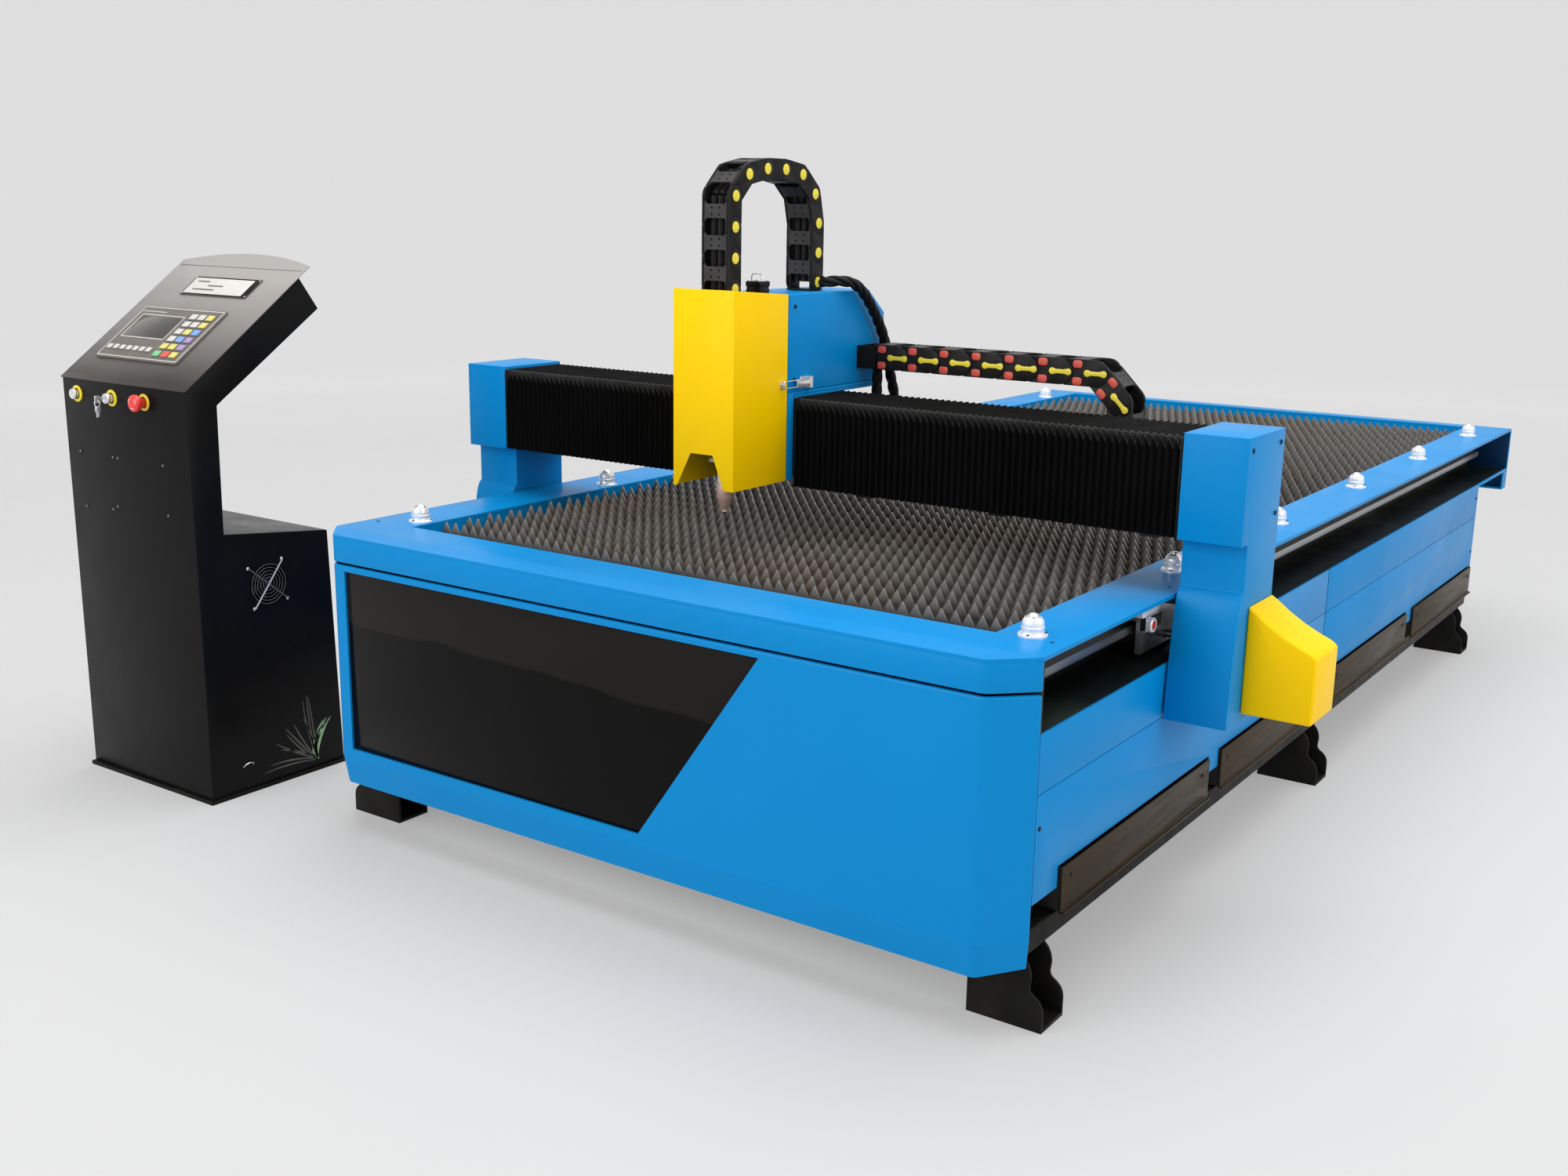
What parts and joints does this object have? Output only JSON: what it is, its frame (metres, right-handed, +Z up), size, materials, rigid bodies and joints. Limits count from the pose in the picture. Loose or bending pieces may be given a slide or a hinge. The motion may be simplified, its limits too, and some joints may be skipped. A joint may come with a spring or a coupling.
{
  "type": "cnc plasma cutting table",
  "caption": "Slat-bed cutting table with slag drawers, a travelling gantry, a cross carriage with a lifting torch head, and a free-standing control console.",
  "frame": {"origin": "on the floor, at the centre of the rectangle made by the four corner feet's floor bolts", "axes": "+X across the table to the side with the slag drawers, +Y along the table away from the operator's end, +Z up"},
  "size_m": [2.866, 3.911, 1.5345],
  "materials": {
    "blue_paint": "gloss powder coat",
    "gloss_black": "high gloss",
    "black_paint": "satin",
    "zinc": "bright plated",
    "rusty_steel": "heat-stained mill scale",
    "dark_steel": "satin",
    "ground_steel": "ground",
    "bronze_paint": "brown-bronze, satin",
    "dark_satin": "satin, grey-brown",
    "keypad": "satin, with coloured keys",
    "black_plastic": "satin",
    "red_plastic": "gloss",
    "yellow_plastic": "gloss",
    "yellow_paint": "semi-gloss powder coat",
    "bellows": "coated cloth in pleats",
    "black_rubber": "satin",
    "aluminium": "machined",
    "torch_shell": "satin",
    "copper": "worn copper"
  },
  "bodies": {
    "table": {"bed_frame": "blue_paint", "front_panel": "blue_paint", "front_window": "gloss_black", "side_panels": "blue_paint", "rear_cap": "blue_paint", "base_frame": "black_paint", "feet": "black_paint", "ball_unit_housings": "zinc", "transfer_balls": "zinc", "slats": "rusty_steel", "slat_combs": "dark_steel", "slag_chutes": "dark_steel", "y_rails": "ground_steel", "y_racks": "ground_steel", "console_shell": "gloss_black", "console_base": "black_paint", "console_top": "dark_satin", "controller_panel": "keypad", "fan_guard": "zinc", "button_collars": "yellow_plastic"},
    "drawer_1": {"slag_drawer_1": "bronze_paint"},
    "drawer_2": {"slag_drawer_2": "bronze_paint"},
    "drawer_3": {"slag_drawer_3": "bronze_paint"},
    "drawer_4": {"slag_drawer_4": "bronze_paint"},
    "fan": {"fan_rotor": "black_plastic"},
    "start": {"start_button": "zinc"},
    "key": {"key_switch": "zinc"},
    "estop": {"estop_button": "red_plastic"},
    "gantry": {"gantry_beam": "dark_steel", "end_posts": "blue_paint", "y_trucks": "ground_steel", "y_motors": "black_paint", "motor_covers": "yellow_paint", "x_rails": "ground_steel", "x_rack": "ground_steel", "bellows_left": "bellows", "bellows_right": "bellows", "chain_tray": "dark_steel", "x_chain_lower": "black_plastic"},
    "pinions": {"y_pinions": "ground_steel"},
    "chain_bend_lower": {"x_chain_bend_lower": "black_plastic"},
    "chain_bend_upper": {"x_chain_bend_upper": "black_plastic"},
    "carriage": {"carriage_saddle": "blue_paint", "carriage_housing": "blue_paint", "latch_base": "zinc", "x_bearing_blocks": "ground_steel", "x_motor": "black_paint", "z_rails": "ground_steel", "z_motor": "black_paint", "z_chain": "black_plastic", "hose_bundle": "black_rubber", "x_chain_bracket": "black_paint", "x_chain_upper": "black_plastic"},
    "cross_pinion": {"x_pinion": "ground_steel"},
    "lift_screw": {"z_screw": "ground_steel"},
    "cover": {"head_cover": "yellow_paint"},
    "latch": {"cover_latch": "zinc"},
    "torch": {"torch_slide": "aluminium", "torch_body": "torch_shell", "torch_cup": "copper"}
  },
  "joints": [
    {"name": "gantry_travel", "type": "slide", "parent": "table", "child": "gantry", "axis": [0, 1, 0], "range_m": [-0.3, 2.8]},
    {"name": "carriage_travel", "type": "slide", "parent": "gantry", "child": "carriage", "axis": [1, 0, 0], "range_m": [-0.65, 0.84], "deforming": ["bellows_left", "bellows_right", "x_chain_lower", "x_chain_upper"]},
    {"name": "torch_lift", "type": "slide", "parent": "carriage", "child": "torch", "axis": [0, 0, 1], "range_m": [-0.06, 0.09], "deforming": ["z_chain"]},
    {"name": "side_pinions", "type": "hinge", "parent": "gantry", "child": "pinions", "pos_m": [0, -0.9615, 0.592], "axis": [1, 0, 0], "continuous": true},
    {"name": "cross_pinion_spin", "type": "hinge", "parent": "carriage", "child": "cross_pinion", "pos_m": [-0.09, -0.9045, 0.98], "axis": [0, 0, 1], "continuous": true},
    {"name": "lift_screw_spin", "type": "hinge", "parent": "carriage", "child": "lift_screw", "pos_m": [-0.072, -1.1525, 1], "axis": [0, 0, 1], "continuous": true},
    {"name": "bend_travel_lower", "type": "slide", "parent": "gantry", "child": "chain_bend_lower", "axis": [1, 0, 0], "range_m": [-0.325, 0.42]},
    {"name": "bend_travel_upper", "type": "slide", "parent": "carriage", "child": "chain_bend_upper", "axis": [1, 0, 0], "range_m": [-0.42, 0.325]},
    {"name": "cover_pull", "type": "slide", "parent": "carriage", "child": "cover", "axis": [0, -1, 0], "range_m": [0, 0.26]},
    {"name": "latch_swing", "type": "hinge", "parent": "carriage", "child": "latch", "pos_m": [-0.0002, -1.0445, 1.052], "axis": [0, 0, 1], "range_deg": [0, 100]},
    {"name": "drawer_1_pull", "type": "slide", "parent": "table", "child": "drawer_1", "axis": [1, 0, 0], "range_m": [0, 1.2]},
    {"name": "drawer_2_pull", "type": "slide", "parent": "table", "child": "drawer_2", "axis": [1, 0, 0], "range_m": [0, 1.2]},
    {"name": "drawer_3_pull", "type": "slide", "parent": "table", "child": "drawer_3", "axis": [1, 0, 0], "range_m": [0, 1.2]},
    {"name": "drawer_4_pull", "type": "slide", "parent": "table", "child": "drawer_4", "axis": [1, 0, 0], "range_m": [0, 1.2]},
    {"name": "fan_spin", "type": "hinge", "parent": "table", "child": "fan", "pos_m": [-1.219, -1.6155, 0.515], "axis": [1, 0, 0], "continuous": true},
    {"name": "start_press", "type": "slide", "parent": "table", "child": "start", "axis": [0, 1, 0], "range_m": [0, 0.005], "stiffness_N_per_m": 400},
    {"name": "key_turn", "type": "hinge", "parent": "table", "child": "key", "pos_m": [-1.492, -1.8095, 0.963], "axis": [0, 1, 0], "range_deg": [0, 90]},
    {"name": "estop_press", "type": "slide", "parent": "table", "child": "estop", "axis": [0, 1, 0], "range_m": [0, 0.005]}
  ],
  "couplings": [
    {"joint": "side_pinions", "follows": "gantry_travel", "rad_per_m": 55.556},
    {"joint": "cross_pinion_spin", "follows": "carriage_travel", "rad_per_m": -55.556},
    {"joint": "lift_screw_spin", "follows": "torch_lift", "rad_per_m": -628.32},
    {"joint": "bend_travel_lower", "follows": "carriage_travel", "ratio": 0.5},
    {"joint": "bend_travel_upper", "follows": "carriage_travel", "ratio": -0.5}
  ]
}
